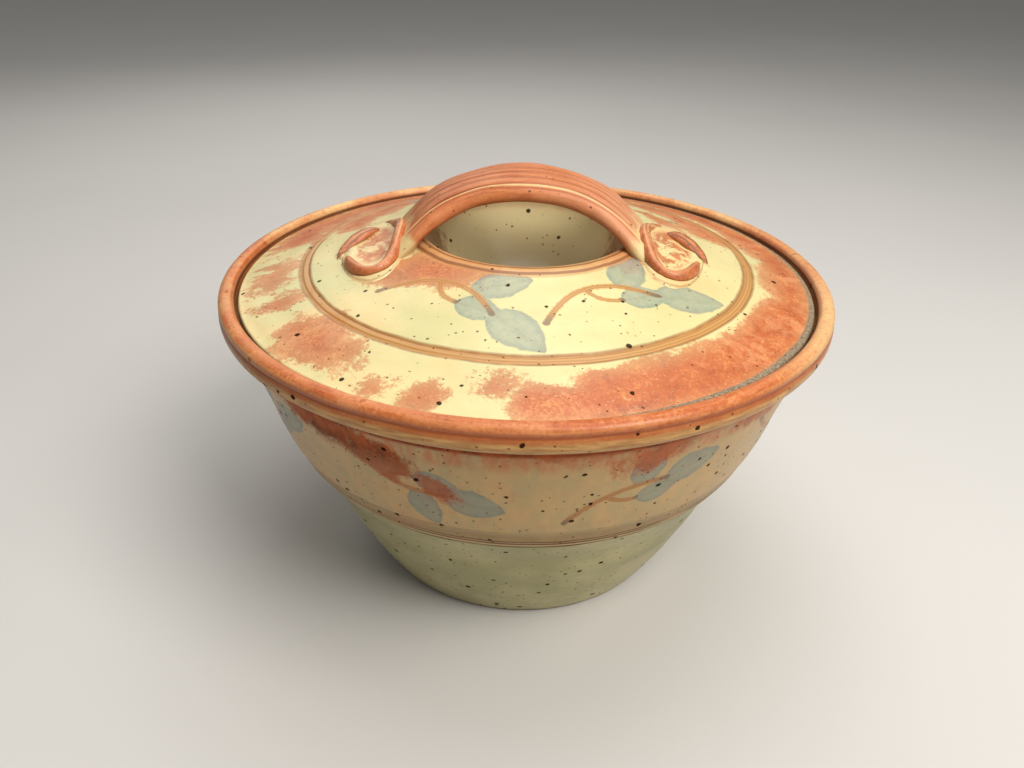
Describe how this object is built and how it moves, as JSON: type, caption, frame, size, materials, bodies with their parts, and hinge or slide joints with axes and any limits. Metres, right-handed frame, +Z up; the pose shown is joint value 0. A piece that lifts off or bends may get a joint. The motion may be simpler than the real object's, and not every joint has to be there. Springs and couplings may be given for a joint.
{
  "type": "stoneware bean pot",
  "caption": "Wide flared stoneware bean pot with a rolled gallery rim, a loose low-domed lid with a sunken well, and a ribbed strap handle with curled ends.",
  "frame": {"origin": "centre of the foot on the table", "axes": "+Z up, the strap handle runs along X, the open side of the curls faces -Y (the front)"},
  "size_m": [0.2996, 0.2996, 0.2068],
  "materials": {
    "body_glaze": "satin celadon and peach glaze with iron speckles",
    "lid_glaze": "satin cream-yellow glaze with rust patches",
    "handle_glaze": "satin iron-rust glaze, thin on the ribs",
    "curl_glaze": "satin iron-rust glaze",
    "pad_glaze": "pooled cream glaze with rust marks"
  },
  "bodies": {
    "pot": {"pot_body": "body_glaze"},
    "lid": {"lid_plate": "lid_glaze", "handle_strap": "handle_glaze", "handle_curl_left": "curl_glaze", "handle_curl_right": "curl_glaze", "handle_bud_left": "curl_glaze", "handle_bud_right": "curl_glaze", "handle_pad_left": "pad_glaze", "handle_pad_right": "pad_glaze"}
  },
  "joints": [
    {"name": "lid_lift", "type": "slide", "parent": "pot", "child": "lid", "axis": [0, 0, 1], "range_m": [0, 0.15]}
  ]
}
